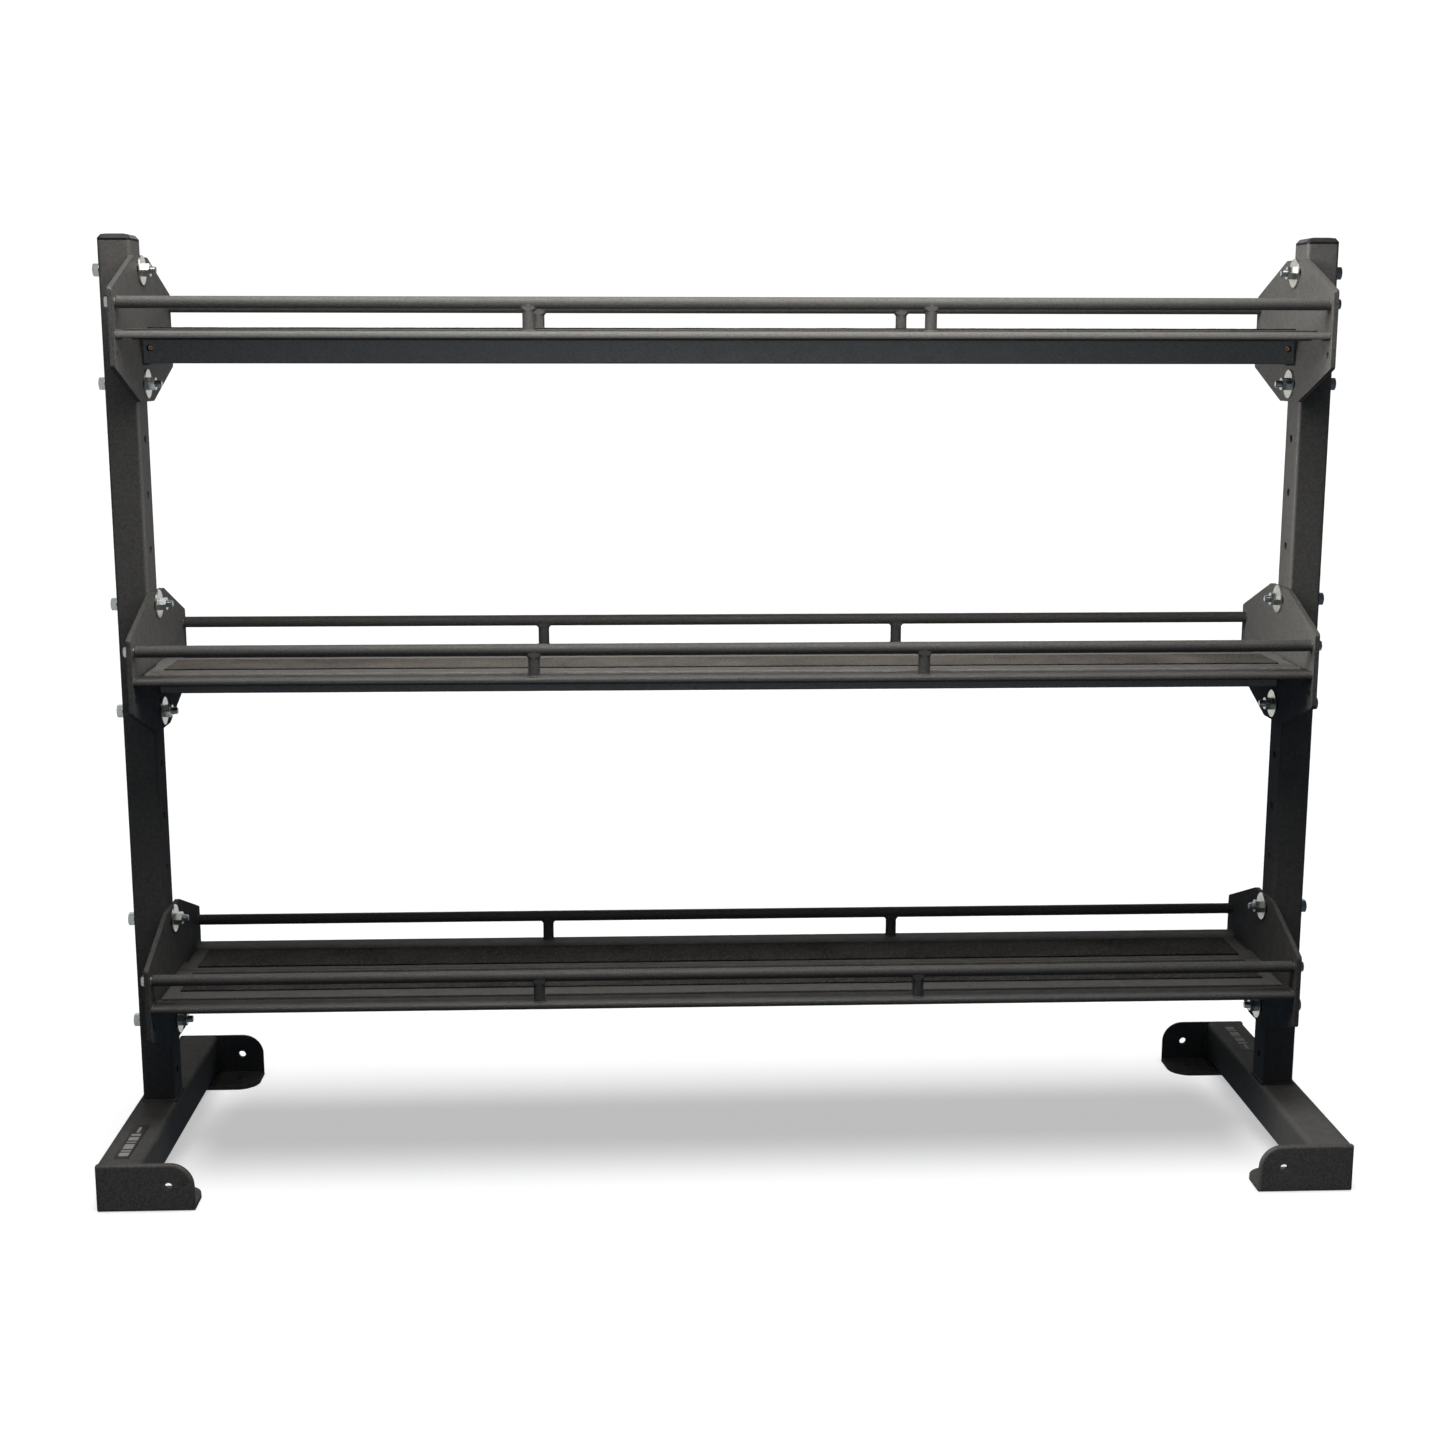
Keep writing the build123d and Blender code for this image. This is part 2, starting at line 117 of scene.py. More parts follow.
# ---- node graph helper ---------------------------------------------------------------
class Graph:
    """A small builder for one material's node tree."""

    def __init__(self, name):
        self.material = bpy.data.materials.new(name)
        self.material.use_nodes = True
        self.tree = self.material.node_tree
        self.tree.nodes.clear()
        self.out = self.node("ShaderNodeOutputMaterial")
        self.shader = self.node("ShaderNodeBsdfPrincipled")
        self.link(self.shader.outputs["BSDF"], self.out.inputs["Surface"])
        self.coords = self.node("ShaderNodeTexCoord").outputs["Object"]

    def node(self, kind, **settings):
        made = self.tree.nodes.new(kind)
        for key, value in settings.items():
            setattr(made, key, value)
        return made

    def link(self, source, target):
        self.tree.links.new(source, target)

    def put(self, socket, value):
        if hasattr(value, "is_output"):
            self.link(value, socket)
        else:
            socket.default_value = value

    def stretched(self, scale):
        """Object coordinates scaled separately along each axis."""
        mapping = self.node("ShaderNodeMapping")
        self.link(self.coords, mapping.inputs["Vector"])
        mapping.inputs["Scale"].default_value = scale
        return mapping.outputs["Vector"]

    def noise(self, scale, detail=2.0, rough=0.5, coords=None):
        made = self.node("ShaderNodeTexNoise")
        self.link(coords or self.coords, made.inputs["Vector"])
        made.inputs["Scale"].default_value = scale
        made.inputs["Detail"].default_value = detail
        made.inputs["Roughness"].default_value = rough
        return made.outputs["Fac"]

    def voronoi(self, scale, output="Distance", coords=None):
        made = self.node("ShaderNodeTexVoronoi")
        self.link(coords or self.coords, made.inputs["Vector"])
        made.inputs["Scale"].default_value = scale
        return made.outputs[output]

    def span(self, value, low, high, to_low=0.0, to_high=1.0):
        made = self.node("ShaderNodeMapRange")
        self.put(made.inputs["Value"], value)
        made.inputs["From Min"].default_value = low
        made.inputs["From Max"].default_value = high
        made.inputs["To Min"].default_value = to_low
        made.inputs["To Max"].default_value = to_high
        return made.outputs["Result"]

    def math(self, operation, first, second=0.0):
        made = self.node("ShaderNodeMath", operation=operation)
        self.put(made.inputs[0], first)
        self.put(made.inputs[1], second)
        return made.outputs[0]

    def between(self, value, low, high):
        """One where low < value < high, otherwise zero."""
        above = self.math("GREATER_THAN", value, low)
        below = self.math("LESS_THAN", value, high)
        return self.math("MULTIPLY", above, below)

    def mix(self, factor, first, second):
        made = self.node("ShaderNodeMix", data_type="RGBA")
        self.put(made.inputs["Factor"], factor)
        self.put(made.inputs["A"], first)
        self.put(made.inputs["B"], second)
        return made.outputs["Result"]

    def bump(self, height, distance, strength=1.0, normal=None):
        made = self.node("ShaderNodeBump")
        self.link(height, made.inputs["Height"])
        made.inputs["Distance"].default_value = distance
        made.inputs["Strength"].default_value = strength
        if normal:
            self.link(normal, made.inputs["Normal"])
        return made.outputs["Normal"]

    def axis(self, name):
        made = self.node("ShaderNodeSeparateXYZ")
        self.link(self.coords, made.inputs["Vector"])
        return made.outputs[name]

    def finish(self, color, roughness, normal, metallic=0.0, **plain):
        self.put(self.shader.inputs["Base Color"], color)
        self.put(self.shader.inputs["Roughness"], roughness)
        self.put(self.shader.inputs["Metallic"], metallic)
        self.link(normal, self.shader.inputs["Normal"])
        for key, value in plain.items():
            self.shader.inputs[key.replace("_", " ")].default_value = value
        return self.material


# ---- materials -----------------------------------------------------------------------
def powder_coat(name, tone, worn=0.0, long_axis=None):
    """Fine sand-textured charcoal powder coat with faint handling marks."""
    g = Graph(name)
    grain = g.noise(1500.0, 2.0, 0.6)
    speckle = g.noise(380.0, 3.0, 0.7)
    peel = g.noise(420.0, 3.0, 0.55)
    broad = g.noise(6.0, 4.0, 0.6)
    dark = (tone[0] * 0.50, tone[1] * 0.50, tone[2] * 0.54, 1)
    light = (tone[0] * 1.55, tone[1] * 1.52, tone[2] * 1.44, 1)
    sand = g.math("ADD", g.math("MULTIPLY", grain, 0.35), g.math("MULTIPLY", speckle, 0.65))
    color = g.mix(g.span(sand, 0.38, 0.62), dark, light)
    color = g.mix(g.span(broad, 0.40, 0.75, 0.0, 0.22), color, (0.105, 0.100, 0.092, 1))
    # Painted highlight: convex edges, found by pointiness, are painted a lighter grey as if catching the
    # light.
    edge = g.node("ShaderNodeNewGeometry").outputs["Pointiness"]
    edge = g.span(edge, 0.52, 0.60, 0.0, 0.35)
    color = g.mix(edge, color, (0.115, 0.112, 0.106, 1))
    rough = g.span(g.noise(55.0, 3.0, 0.6), 0.3, 0.7, 0.50, 0.66)
    height = g.math("ADD", g.math("MULTIPLY", grain, 0.45), g.math("MULTIPLY", peel, 0.55))
    if long_axis:
        streak = [90.0, 90.0, 90.0]
        streak["XYZ".index(long_axis)] = 7.0
        marks = g.noise(3.2, 5.0, 0.72, g.stretched(streak))
        where = g.noise(4.5, 2.0, 0.5)
        marks = g.math("MULTIPLY", g.span(marks, 0.60, 0.68), g.span(where, 0.46, 0.60))
        marks = g.math("MULTIPLY", marks, worn)
        color = g.mix(marks, color, (0.150, 0.145, 0.138, 1))
    normal = g.bump(height, 0.00022, 0.85)
    return g.finish(color, rough, normal, Specular_IOR_Level=0.42)


def zinc(name, tint, rough_low, rough_high):
    """Bright zinc plate with a patchy clear passivation."""
    g = Graph(name)
    patch = g.noise(140.0, 3.0, 0.6)
    tone = g.noise(620.0, 2.0, 0.5)
    cool = (tint[0] * 0.80, tint[1] * 0.86, tint[2] * 0.95, 1)
    warm = (tint[0] * 1.03, tint[1] * 1.02, tint[2] * 0.90, 1)
    color = g.mix(g.span(patch, 0.35, 0.65), cool, warm)
    color = g.mix(g.span(tone, 0.55, 0.75, 0.0, 0.25), color, (0.42, 0.43, 0.44, 1))
    rough = g.span(g.noise(300.0, 3.0, 0.6), 0.3, 0.7, rough_low, rough_high)
    normal = g.bump(g.noise(900.0, 3.0, 0.6), 0.00006, 0.7)
    return g.finish(color, rough, normal, metallic=1.0)


def crumb_rubber():
    """Pressed rubber crumb: packed angular granules with brown and grey flecks between them."""
    g = Graph("crumb_rubber")
    warp = g.stretched((1.0, 1.0, 1.6))
    cells = g.voronoi(560.0, "Distance", warp)
    fine = g.voronoi(1350.0, "Distance", warp)
    pick = g.node("ShaderNodeSeparateColor")
    g.link(g.voronoi(560.0, "Color", warp), pick.inputs["Color"])
    shade = g.mix(pick.outputs["Red"], (0.012, 0.011, 0.011, 1), (0.072, 0.065, 0.059, 1))
    flecks = g.span(pick.outputs["Green"], 0.90, 0.93)
    shade = g.mix(flecks, shade, (0.165, 0.118, 0.075, 1))
    pale = g.span(pick.outputs["Blue"], 0.955, 0.97)
    shade = g.mix(pale, shade, (0.22, 0.205, 0.185, 1))
    # Painted shade: the recesses between granules are painted near black, as if in shadow.
    gap_shade = g.span(cells, 0.35, 0.62)
    shade = g.mix(gap_shade, shade, (0.004, 0.004, 0.004, 1))
    dust = g.span(g.noise(9.0, 4.0, 0.65), 0.36, 0.70, 0.10, 0.45)
    shade = g.mix(dust, shade, (0.125, 0.112, 0.098, 1))
    # Painted shade: faces that turn sideways, the mat's cut edges, are painted near black as if in shadow.
    facing = g.node("ShaderNodeSeparateXYZ")
    g.link(g.node("ShaderNodeNewGeometry").outputs["Normal"], facing.inputs["Vector"])
    shade = g.mix(g.span(facing.outputs["Z"], 0.35, 0.85), (0.003, 0.003, 0.003, 1), shade)
    height = g.math("ADD", g.math("MULTIPLY", cells, -0.7), g.math("MULTIPLY", fine, -0.3))
    normal = g.bump(height, 0.0010, 0.9)
    rough = g.span(g.noise(200.0, 2.0, 0.5), 0.3, 0.7, 0.78, 0.95)
    return g.finish(shade, rough, normal, Specular_IOR_Level=0.30)


def cap_plastic():
    """Glossy black moulded polyethylene with faint moulding flow and fingerprints."""
    g = Graph("cap_plastic")
    flow = g.noise(60.0, 3.0, 0.55)
    color = g.mix(g.span(flow, 0.35, 0.7), (0.008, 0.008, 0.009, 1), (0.018, 0.018, 0.019, 1))
    rough = g.span(g.noise(180.0, 4.0, 0.65), 0.35, 0.7, 0.34, 0.50)
    normal = g.bump(g.noise(480.0, 3.0, 0.6), 0.00008, 0.6)
    return g.finish(color, rough, normal, Specular_IOR_Level=0.28)


def label_strip(name, side):
    """Plain dark strip with a few pale bars of unequal width and no lettering."""
    g = Graph(name)
    low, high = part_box(name)
    across = g.span(g.axis("X"), low.x, high.x)
    along = g.span(g.axis("Y"), low.y, high.y)
    if side > 0:
        along = g.math("SUBTRACT", 1.0, along)
    ink = None
    for start, stop, near, far in LABEL_BARS:
        inside = g.between(along, start, stop)
        lane = g.between(across, near, far)
        bar = g.math("MULTIPLY", inside, lane)
        ink = bar if ink is None else g.math("MAXIMUM", ink, bar)
    worn = g.span(g.noise(700.0, 4.0, 0.7), 0.30, 0.46)
    ink = g.math("MULTIPLY", ink, worn)
    paper = g.mix(g.noise(900.0), (0.016, 0.016, 0.017, 1), (0.030, 0.030, 0.031, 1))
    color = g.mix(ink, paper, (0.42, 0.42, 0.41, 1))
    normal = g.bump(g.noise(500.0, 2.0, 0.5), 0.00005, 0.5)
    return g.finish(color, g.span(g.noise(90.0), 0.3, 0.7, 0.34, 0.48), normal)


def rust():
    """Rust-bloomed steel."""
    g = Graph("rusty_insert")
    bloom = g.noise(700.0, 4.0, 0.65)
    color = g.mix(g.span(bloom, 0.35, 0.65), (0.62, 0.36, 0.22, 1), (0.30, 0.15, 0.085, 1))
    normal = g.bump(g.noise(1600.0, 3.0, 0.7), 0.00025, 0.9)
    return g.finish(color, g.span(bloom, 0.3, 0.7, 0.70, 0.92), normal)


COAT = powder_coat("powder_coat", CHARCOAL)
COAT_RAIL = powder_coat("powder_coat_rail", CHARCOAL, 0.55, "X")
COAT_TRAY = powder_coat("powder_coat_tray", CHARCOAL, 0.35, "X")
COAT_WELD = powder_coat("powder_coat_weld", (0.084, 0.083, 0.080))
ZINC = zinc("zinc_bright", (0.70, 0.73, 0.75), 0.22, 0.38)
ZINC_WASHER = zinc("zinc_washer", (0.80, 0.79, 0.74), 0.24, 0.40)
CRUMB = crumb_rubber()
CAP = cap_plastic()
RUST = rust()


# ---- carried-over solids -------------------------------------------------------------
def dress(obj, material, bevel=0.0, segments=2):
    """Gives an object its one material and, where asked, a small rounded edge."""
    obj.data.materials.clear()
    obj.data.materials.append(material)
    if bevel:
        weld = obj.modifiers.new("weld", "WELD")
        weld.merge_threshold = 0.00001
        soft = obj.modifiers.new("edge", "BEVEL")
        soft.width = bevel
        soft.segments = segments
        soft.limit_method = "ANGLE"
        soft.angle_limit = math.radians(38)
        soft.use_clamp_overlap = True
        soft.harden_normals = True


def material_for(name):
    """The material of one CAD node and the rounding of its edges."""
    if name.startswith("upright_cap"):
        return CAP, 0.0
    if name.startswith("foot_label"):
        side = SIDES[name.rsplit("_", 1)[1]]
        return label_strip(name, side), 0.0
    if "washers" in name:
        return ZINC_WASHER, 0.0
    if "bolts" in name or "nuts" in name:
        return ZINC, 0.0
    if "_rail_front" in name or "_rail_rear" in name:
        return COAT_RAIL, 0.0
    if "_tray_" in name:
        return COAT_TRAY, 0.0
    if "side_plate" in name or "foot_bracket" in name:
        return COAT, 0.0006
    return COAT, 0.0


for node_name, node in NODES.items():
    chosen, rounding = material_for(node_name)
    dress(node, chosen, rounding)


# ---- mesh builders -------------------------------------------------------------------
def new_piece(name, verts, faces, material, slot, smooth=True):
    """Makes one visible piece that rides on the rack's only body."""
    mesh = bpy.data.meshes.new(name)
    mesh.from_pydata(verts, [], faces)
    mesh.validate()
    mesh.materials.append(material)
    mesh.polygons.foreach_set("use_smooth", [smooth] * len(mesh.polygons))
    mesh.update()
    piece = bpy.data.objects.new(name, mesh)
    bpy.context.scene.collection.objects.link(piece)
    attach(piece, "root")
    return piece


def bead(store, path, radius, closed=False, ripple=0.0021, seed=0):
    """Adds one rippled weld bead along a path of points to store = (verts, faces)."""
    verts, faces = store
    points = [Vector(p) for p in path]
    if closed:
        points.append(points[0])
    stations = []
    for a, b in zip(points, points[1:]):
        steps = max(2, int((b - a).length / BEAD_STEP))
        stations += [a.lerp(b, i / steps) for i in range(steps)]
    if not closed:
        stations.append(points[-1])
    count = len(stations)
    sides = BEAD_SIDES
    base = len(verts)
    travelled = 0.0
    for i, here in enumerate(stations):
        ahead = stations[(i + 1) % count] if closed else stations[min(i + 1, count - 1)]
        behind = stations[i - 1] if closed or i else stations[0]
        along = (ahead - behind).normalized()
        helper = Vector((0.0, 0.0, 1.0)) if abs(along.z) < 0.9 else Vector((0.0, 1.0, 0.0))
        u = along.cross(helper).normalized()
        v = along.cross(u)
        wave = abs(math.sin(math.pi * travelled / ripple))
        wobble = noise.noise(here * 260.0 + Vector((seed, 0.0, 0.0)))
        r = radius * (0.90 + 0.14 * wave + 0.12 * wobble)
        if not closed and i in (0, count - 1):
            r *= BEAD_END_SHRINK
        for k in range(sides):
            turn = 2 * math.pi * k / sides
            verts.append(here + (u * math.cos(turn) + v * math.sin(turn)) * r)
        travelled += (ahead - here).length
    for i in range(count if closed else count - 1):
        j = (i + 1) % count
        here, there = base + i * sides, base + j * sides
        for k in range(sides):
            m = (k + 1) % sides
            faces.append((here + k, here + m, there + m, there + k))
    if not closed:
        faces.append(tuple(base + k for k in reversed(range(sides))))
        faces.append(tuple(base + (count - 1) * sides + k for k in range(sides)))


def rectangle(x0, x1, y0, y1, z, corner=0.004):
    """Rounded rectangle path at one height."""
    path = []
    left, right = x0 + corner, x1 - corner
    near, far = y0 + corner, y1 - corner
    centres = ((right, far), (left, far), (left, near), (right, near))
    for quarter, (cx, cy) in enumerate(centres):
        for step in range(5):
            turn = math.pi / 2 * (quarter + step / 4)
            path.append((cx + corner * math.cos(turn), cy + corner * math.sin(turn), z))
    return path


def upright_welds():
    """A bead round the base of each upright, where it stands on its foot."""
    store = ([], [])
    for side in SIDES:
        low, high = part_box(f"upright_{side}")
        bead(store, rectangle(low.x, high.x, low.y, high.y, low.z), 0.0030, True, seed=3)
    return new_piece("upright_base_welds", *store, COAT_WELD, "frame")


def foot_welds():
    """Beads where each end bracket meets its foot tube, on the side facing the rack's middle."""
    store = ([], [])
    for side, s in SIDES.items():
        tube_low, tube_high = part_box(f"foot_tube_{side}")
        inner = tube_high.x if s < 0 else tube_low.x
        outer = s * ((tube_high.x if s > 0 else -tube_low.x) - 0.006)
        for end, e in ENDS.items():
            y = e * tube_high.y
            low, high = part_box(f"foot_bracket_{end}_{side}")
            flange_end = low.y if e > 0 else high.y
            z = tube_low.z
            bead(store, [(inner, y, z + 0.003), (inner, y, tube_high.z - 0.0035)], 0.0026, seed=11)
            bead(store, [(inner, y - e * 0.003, z), (inner, flange_end + e * 0.004, z)], 0.0022, seed=12)
            under = [(x, flange_end, z - 0.0002) for x in (outer, s * BRACKET_LUG_X)]
            bead(store, under, 0.0018, seed=13)
    return new_piece("foot_bracket_welds", *store, COAT_WELD, "frame")


def shelf_welds(shelf):
    """Beads at the post feet, at the ends of both edge bars and round the ends of the beam."""
    store = ([], [])
    post_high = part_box(f"{shelf}_rail_posts")[1]
    rail_low, rail_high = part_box(f"{shelf}_rail_front")
    radius = (rail_high.z - rail_low.z) / 2
    rail_y = (rail_high.y + rail_low.y) / 2
    post_x = post_high.x - 0.0106
    beam_low, beam_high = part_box(f"{shelf}_support_beam")
    for end, e in ENDS.items():
        low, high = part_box(f"{shelf}_edge_bar_{end}")
        for x in (-post_x, post_x):
            turns = [2 * math.pi * i / POST_RING_POINTS for i in range(POST_RING_POINTS)]
            ring = [(x + radius * math.cos(t), -e * rail_y + radius * math.sin(t), high.z) for t in turns]
            bead(store, ring, 0.0017, True, ripple=0.0017, seed=21)
        for x in (low.x, high.x):
            y0, y1 = low.y + 0.004, high.y - 0.004
            bead(store, [(x, y0, high.z), (x, y1, high.z)], 0.0020, seed=22)
            bead(store, [(x, y0, low.z), (x, y1, low.z)], 0.0020, seed=23)
    for x in (beam_low.x, beam_high.x):
        ring = rectangle(beam_low.y, beam_high.y, beam_low.z, beam_high.z, x, 0.003)
        bead(store, [(x, p[0], p[1]) for p in ring], 0.0022, True, seed=24)
    return new_piece(f"{shelf}_shelf_welds", *store, COAT_WELD, "frame")


def rib_welds(shelf):
    """Short stitch beads under the shelf where ribs meet the edge bars."""
    store = ([], [])
    low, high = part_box(f"{shelf}_cross_ribs")
    for x in RIB_X:
        for y in (low.y, high.y):
            stitch = [(x - RIB_STITCH_HALF, y, low.z), (x + RIB_STITCH_HALF, y, low.z)]
            bead(store, stitch, 0.0018, seed=31)
    return new_piece(f"{shelf}_rib_welds", *store, COAT_WELD, "frame")


def mat_piece(name, seed):
    """Cut strip of crumb rubber with a ragged edge and an uneven top, replacing the plain solid."""
    low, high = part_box(name)
    nx = int((high.x - low.x) / MAT_STEP)
    ny = int((high.y - low.y) / MAT_STEP)
    lift = high.z - low.z
    verts = []
    faces = []

    def ragged(x, y):
        """Pulls a border point inward by a small uneven amount."""
        fine = noise.noise(Vector((x * 280.0, y * 280.0, seed)))
        slow = noise.noise(Vector((x * 11.0, y * 11.0, seed + 5.0)))
        edge = 0.0003 + 0.0016 * (0.5 + 0.5 * fine)
        return edge + 0.0022 * (0.5 + 0.5 * slow)

    def place(i, j, z):
        """Grid point i, j at height z, drawn in where it lies on the border."""
        x = low.x + (high.x - low.x) * i / nx
        y = low.y + (high.y - low.y) * j / ny
        pull = ragged(x, y)
        x += pull if i == 0 else -pull if i == nx else 0.0
        y += pull if j == 0 else -pull if j == ny else 0.0
        return Vector((x, y, z))

    for j in range(ny + 1):
        for i in range(nx + 1):
            border = i in (0, nx) or j in (0, ny)
            point = place(i, j, 0.0)
            grain = noise.noise(Vector((point.x * 700.0, point.y * 700.0, seed)))
            swell = noise.noise(Vector((point.x * 25.0, point.y * 25.0, seed + 9.0)))
            drop = 0.00045 + 0.00035 * grain + 0.00018 * swell + (0.0005 if border else 0.0)
            point.z = high.z - max(drop, 0.00002)
            verts.append(point)
    for j in range(ny):
        for i in range(nx):
            a = j * (nx + 1) + i
            faces.append((a, a + 1, a + nx + 2, a + nx + 1))
    rim = [(i, 0) for i in range(nx)] + [(nx, j) for j in range(ny)]
    rim += [(i, ny) for i in range(nx, 0, -1)] + [(0, j) for j in range(ny, 0, -1)]
    skirt = len(verts)
    for i, j in rim:
        verts.append(place(i, j, low.z + lift * 0.45))
    foot = len(verts)
    for i, j in rim:
        verts.append(place(i, j, low.z))
    for k, (i, j) in enumerate(rim):
        m = (k + 1) % len(rim)
        top = j * (nx + 1) + i
        top_next = rim[m][1] * (nx + 1) + rim[m][0]
        faces.append((top, skirt + k, skirt + m, top_next))
        faces.append((skirt + k, foot + k, foot + m, skirt + m))
    faces.append(tuple(foot + k for k in reversed(range(len(rim)))))
    piece = new_piece(f"{name}_granular", verts, faces, CRUMB, "mat", smooth=True)
    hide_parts(name)
    return piece


def thread_sleeve(store, z, side):
    """Adds one helical thread along X to store, from the nut's face to the bolt's tip."""
    verts, faces = store
    around = THREAD_AROUND
    per_turn = THREAD_ROWS_PER_TURN
    length = NUT_FACE_X - TIP_X - TIP_CHAMFER
    rows = int(length / THREAD_PITCH * per_turn)
    base = len(verts)
    for row in range(rows + 1):
        distance = length * row / rows
        fade = min(1.0, row / per_turn, (rows - row) / per_turn)
        for k in range(around):
            turn = 2 * math.pi * k / around
            phase = (distance / THREAD_PITCH + side * k / around) % 1.0
            ridge = 1.0 - abs(2.0 * phase - 1.0)
            r = THREAD_ROOT + (THREAD_CREST - THREAD_ROOT) * ridge * fade
            x = side * NUT_FACE_X - side * distance
            verts.append(Vector((x, r * math.cos(turn), z + r * math.sin(turn))))
    for row in range(rows):
        a = base + row * around
        b = a + around
        for k in range(around):
            m = (k + 1) % around
            faces.append((a + k, a + m, b + m, b + k))


def bolt_threads():
    """Threads on the bolt ends that stand out past the nuts."""
    store = ([], [])
    for s in SIDES.values():
        for shelf in SHELVES:
            for hole in (FIRST_HOLE[shelf], FIRST_HOLE[shelf] + HOLES_BETWEEN_BOLTS):
                thread_sleeve(store, TOP_HOLE_Z - HOLE_PITCH * hole, s)
    return new_piece("frame_bolt_threads", *store, ZINC, "zinc")


def hexed(radius, turn):
    """Radius of a softened hexagon in the direction turn."""
    flat = math.cos((turn % (math.pi / 3)) - math.pi / 6)
    return radius / max(flat, 0.5) * 0.9


def beam_inserts():
    """Rust-bloomed weld nuts just inside the drain holes at the ends of each beam."""
    verts, faces = store = ([], [])
    around = INSERT_AROUND
    for shelf in SHELVES:
        low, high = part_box(f"{shelf}_support_beam")
        for s in SIDES.values():
            x = s * (high.x - INSERT_INSET)
            z = high.z - INSERT_DROP
            base = len(verts)
            for depth in INSERT_DEPTHS:
                for is_outer in (True, False):
                    for k in range(around):
                        turn = 2 * math.pi * k / around
                        r = hexed(INSERT_OUTER_R, turn) if is_outer else INSERT_INNER_R
                        verts.append(Vector((x + r * math.cos(turn), low.y + depth, z + r * math.sin(turn))))
            front_out, front_in, back_out, back_in = (base + around * ring for ring in range(4))
            for k in range(around):
                m = (k + 1) % around
                faces.append((front_out + k, front_out + m, front_in + m, front_in + k))
                faces.append((front_in + k, front_in + m, back_in + m, back_in + k))
                faces.append((back_out + m, back_out + k, back_in + k, back_in + m))
                faces.append((front_out + m, front_out + k, back_out + k, back_out + m))
    return new_piece("beam_inserts", *store, RUST, "frame", smooth=False)


upright_welds()
foot_welds()
for shelf_name in SHELVES:
    shelf_welds(shelf_name)
    rib_welds(shelf_name)
for number, shelf_name in enumerate(SHELVES):
    for offset, end_name in enumerate(ENDS):
        mat_piece(f"{shelf_name}_mat_{end_name}", 17.0 * (2 * number + offset + 1))
bolt_threads()
beam_inserts()


# ---- floor, light and camera ---------------------------------------------------------
def camera_only(made):
    """Shows a staging surface to the camera without letting it light the object."""
    made.visible_diffuse = False
    made.visible_glossy = False
    made.visible_transmission = False
    made.visible_shadow = False
    made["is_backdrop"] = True


def floor():
    """Plain pale floor that glows a little, so that it reads as white paper."""
    mesh = bpy.data.meshes.new("studio_floor")
    half = FLOOR_HALF
    corners = [(-half, -half, 0), (half, -half, 0), (half, half, 0), (-half, half, 0)]
    mesh.from_pydata(corners, [], [(0, 1, 2, 3)])
    made = bpy.data.objects.new("studio_floor", mesh)
    bpy.context.scene.collection.objects.link(made)
    g = Graph("studio_floor")
    tone = g.mix(g.noise(3.0, 3.0, 0.5), (0.60, 0.60, 0.60, 1), (0.62, 0.62, 0.62, 1))
    g.shader.inputs["Emission Color"].default_value = (1.0, 1.0, 1.0, 1)
    g.shader.inputs["Emission Strength"].default_value = 0.50
    g.shader.inputs["Specular IOR Level"].default_value = 0.0
    mesh.materials.append(g.finish(tone, 0.9, g.bump(g.noise(200.0), 0.0001, 0.2)))
    camera_only(made)
    return made


def backdrop():
    """White dome behind the scene."""
    mesh = bpy.data.meshes.new("studio_backdrop")
    ball = bmesh.new()
    bmesh.ops.create_uvsphere(ball, u_segments=48, v_segments=24, radius=DOME_RADIUS)
    ball.to_mesh(mesh)
    ball.free()
    made = bpy.data.objects.new("studio_backdrop", mesh)
    bpy.context.scene.collection.objects.link(made)
    paint = bpy.data.materials.new("studio_backdrop")
    paint.use_nodes = True
    tree = paint.node_tree
    tree.nodes.clear()
    glow = tree.nodes.new("ShaderNodeEmission")
    glow.inputs["Color"].default_value = (1.0, 1.0, 1.0, 1)
    glow.inputs["Strength"].default_value = 1.05
    tree.links.new(glow.outputs[0], tree.nodes.new("ShaderNodeOutputMaterial").inputs["Surface"])
    mesh.materials.append(paint)
    camera_only(made)


def area_light(name, position, target, size, power, color):
    """Rectangular lamp aimed at a point, itself unseen by the camera."""
    data = bpy.data.lights.new(name, "AREA")
    data.shape = "RECTANGLE"
    data.size, data.size_y = size
    data.energy = power
    data.color = color
    made = bpy.data.objects.new(name, data)
    made.location = position
    made.rotation_euler = (Vector(target) - Vector(position)).to_track_quat("-Z", "Y").to_euler()
    made.visible_camera = False
    bpy.context.scene.collection.objects.link(made)
    return made


def sun(name, direction, strength, spread):
    """Wide soft sun, spread degrees across."""
    data = bpy.data.lights.new(name, "SUN")
    data.energy = strength
    data.angle = math.radians(spread)
    made = bpy.data.objects.new(name, data)
    made.rotation_euler = Vector(direction).to_track_quat("-Z", "Y").to_euler()
    bpy.context.scene.collection.objects.link(made)
    return made


def light_only(light, name, receivers, blockers=None):
    """The light reaches only these objects; everything, or only the given blockers, shades it."""
    group = bpy.data.collections.new(name)
    for receiver in receivers:
        group.objects.link(receiver)
    light.light_linking.receiver_collection = group
    if blockers:
        shading = bpy.data.collections.new(f"{name}_blockers")
        for blocker in blockers:
            shading.objects.link(blocker)
        light.light_linking.blocker_collection = shading


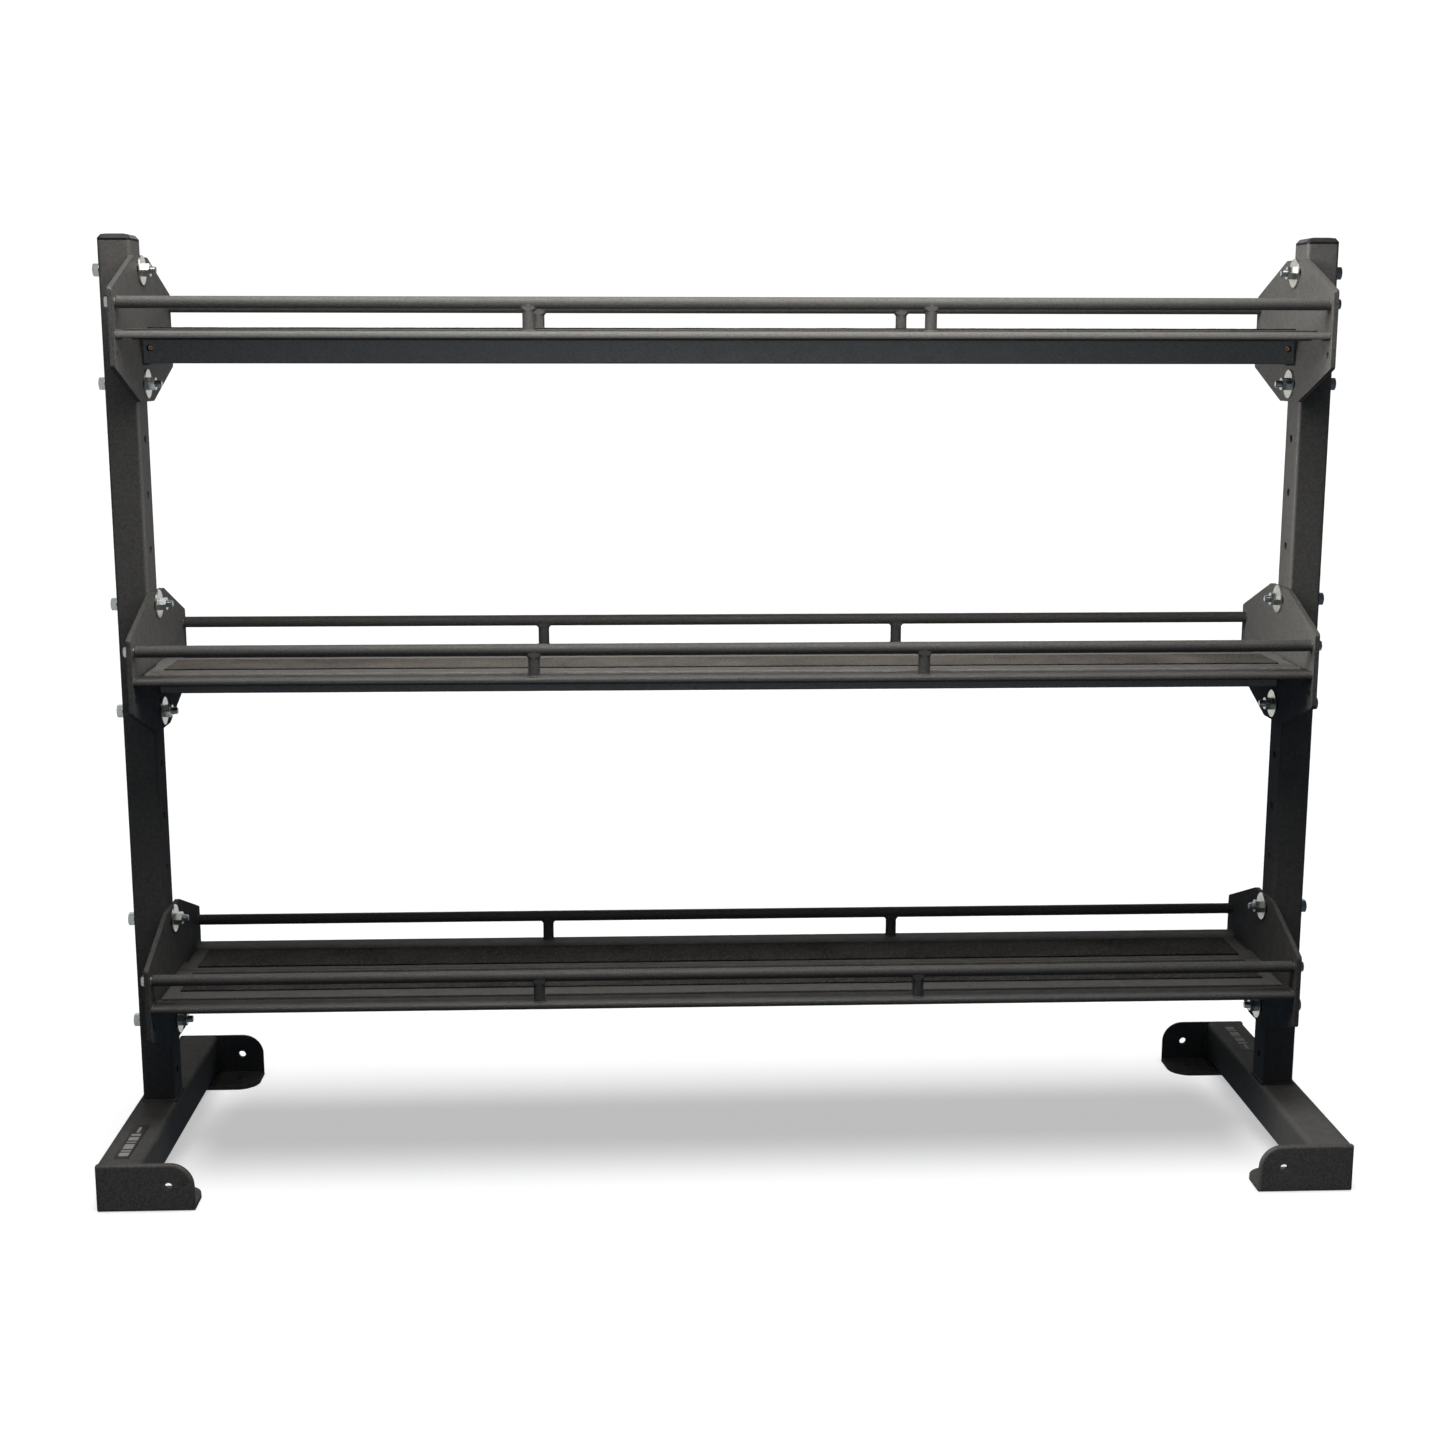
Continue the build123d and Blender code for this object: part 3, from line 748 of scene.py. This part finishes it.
def world():
    """Dim surroundings, slightly bluer below the horizon."""
    made = bpy.data.worlds.new("studio")
    made.use_nodes = True
    tree = made.node_tree
    coords = tree.nodes.new("ShaderNodeTexCoord")
    split = tree.nodes.new("ShaderNodeSeparateXYZ")
    tree.links.new(coords.outputs["Generated"], split.inputs["Vector"])
    ramp = tree.nodes.new("ShaderNodeValToRGB")
    shift = tree.nodes.new("ShaderNodeMapRange")
    shift.inputs["From Min"].default_value = -1.0
    tree.links.new(split.outputs["Z"], shift.inputs["Value"])
    tree.links.new(shift.outputs["Result"], ramp.inputs["Fac"])
    ramp.color_ramp.elements[0].position = 0.46
    ramp.color_ramp.elements[0].color = (0.048, 0.061, 0.080, 1)
    ramp.color_ramp.elements[1].position = 0.54
    ramp.color_ramp.elements[1].color = (0.036, 0.038, 0.042, 1)
    tree.links.new(ramp.outputs["Color"], tree.nodes["Background"].inputs["Color"])
    tree.nodes["Background"].inputs["Strength"].default_value = 1.0
    bpy.context.scene.world = made


def camera():
    """Camera in front of the rack, slightly to the left, looking a little down."""
    data = bpy.data.cameras.new("camera")
    data.sensor_width = 36.0
    data.lens = 49.72
    data.clip_start = 0.05
    data.clip_end = 200.0
    made = bpy.data.objects.new("camera", data)
    bpy.context.scene.collection.objects.link(made)
    yaw, pitch, roll = 0.0440, 0.1840, 0.0010
    reach = math.cos(pitch)
    forward = Vector((math.sin(yaw) * reach, math.cos(yaw) * reach, -math.sin(pitch)))
    level = Vector((math.cos(yaw), -math.sin(yaw), 0.0))
    above = level.cross(forward)
    right = level * math.cos(roll) + above * math.sin(roll)
    up = above * math.cos(roll) - level * math.sin(roll)
    turn = Matrix((right, up, -forward)).transposed()
    made.matrix_world = Matrix.Translation((-0.1275, -2.8170, 1.1416)) @ turn.to_4x4()
    bpy.context.scene.camera = made


def named(*starts):
    """Every visible piece whose name begins with one of these."""
    return [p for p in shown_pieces() if p.name.startswith(starts)]


def lights(ground):
    """Soft boxes that each reach only some pieces, and the shadow under the rack."""
    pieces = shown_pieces()
    zinc_pieces = [p for p in pieces if p.data.materials[0] in (ZINC, ZINC_WASHER)]
    painted = [p for p in pieces if p not in zinc_pieces]
    unbolted = [p for p in pieces if not p.name.endswith("bolts")]
    beams = [p for p in pieces if "beam" in p.name]
    feet = named("foot")
    brackets = named("foot_bracket")
    middle_deck = named("middle_mat", "middle_tray")
    upper_bars = named("upper_edge_bar")
    inner_faces = named("upright", "upper_side_plate", "middle_side_plate")
    # name, place, point aimed at, size, watts, colour, pieces reached
    lamps = (
        ("top_box", (-0.25, -0.45, 2.1), (-0.25, -0.35, 0.0), (1.8, 0.8), 15.0, WARM, unbolted),
        ("back_high", (0.0, 3.2, 2.4), (0.0, 0.0, 1.0), (4.5, 1.2), 18.0, WARM, pieces),
        ("over_centre", (0.0, -0.2, 1.9), (0.0, -0.2, 0.0), (2.2, 0.8), 7.5, WARM, painted),
        ("over_front", (0.0, -0.6, 1.5), (0.0, -0.25, 0.9), (1.4, 0.3), 3.8, WARM, painted),
        ("over_right", (-0.3, -0.25, 1.5), (0.8, 0.0, 1.15), (0.4, 0.4), 11.0, WARM, inner_faces),
        ("inner_left", (-0.45, -0.6, 1.6), (-0.3, 0.0, 1.1), (0.5, 0.4), 1.1, WARM, painted),
        ("inner_right", (0.45, -0.6, 1.6), (0.3, 0.0, 1.1), (0.5, 0.4), 1.2, WARM, painted),
        ("gap_front", (0.0, -0.7, 1.1), (0.0, 0.0, 0.7), (1.0, 0.3), 0.7, WARM, painted),
        ("gap_to_right", (-0.1, 0.05, 0.97), (0.8, 0.0, 1.05), (0.12, 0.3), 6.0, WARM, inner_faces),
        ("gap_to_left", (0.1, 0.05, 0.97), (-0.8, 0.0, 1.05), (0.12, 0.3), 3.0, WARM, inner_faces),
        ("foot_left", (-0.95, -1.1, 0.9), (-0.83, -0.2, 0.05), (0.5, 0.3), 2.6, WARM, brackets),
        ("foot_right", (0.95, -1.1, 0.9), (0.83, -0.2, 0.05), (0.5, 0.3), 2.6, WARM, feet),
        ("low_to_right", (-0.1, -0.3, 0.5), (0.83, 0.0, 0.1), (0.2, 0.2), 4.0, WARM, feet),
        ("paper_behind", (0.0, 3.2, 0.3), (0.0, 0.0, 0.3), (3.6, 3.4), 25.0, PAPER, zinc_pieces),
        ("paper_above", (-1.5, -1.6, 2.9), (-0.8, 0.0, 0.9), (2.2, 2.6), 9.0, PAPER, zinc_pieces),
        ("paper_below", (-1.5, -1.4, -1.2), (-0.8, 0.0, 0.9), (2.2, 2.6), 8.0, PAPER, zinc_pieces),
        ("beam_fill", (0.0, -1.3, 0.85), (0.0, 0.0, 1.15), (1.6, 0.3), 5.5, COOL, beams),
        ("deck_fill", (0.0, -0.5, 1.05), (0.0, -0.1, 0.7), (1.6, 0.2), 13.0, WARM, middle_deck),
        ("lip_fill", (0.0, -1.4, 1.3), (0.0, -0.26, 1.08), (2.0, 0.3), 18.0, WARM, upper_bars),
    )
    for name, place, aim, size, power, color, receivers in lamps:
        light_only(area_light(name, place, aim, size, power, color), name, receivers)
    low_pieces = named("lower", "foot", "upright")
    shade = sun("floor_shade", (0.0, 0.12, -1.0), 2.9, 46)
    light_only(shade, "floor_receivers", [ground], low_pieces)


studio_floor = floor()
backdrop()
world()
lights(studio_floor)
camera()
bpy.context.scene.view_settings.view_transform = "Standard"
bpy.context.scene.view_settings.look = "None"
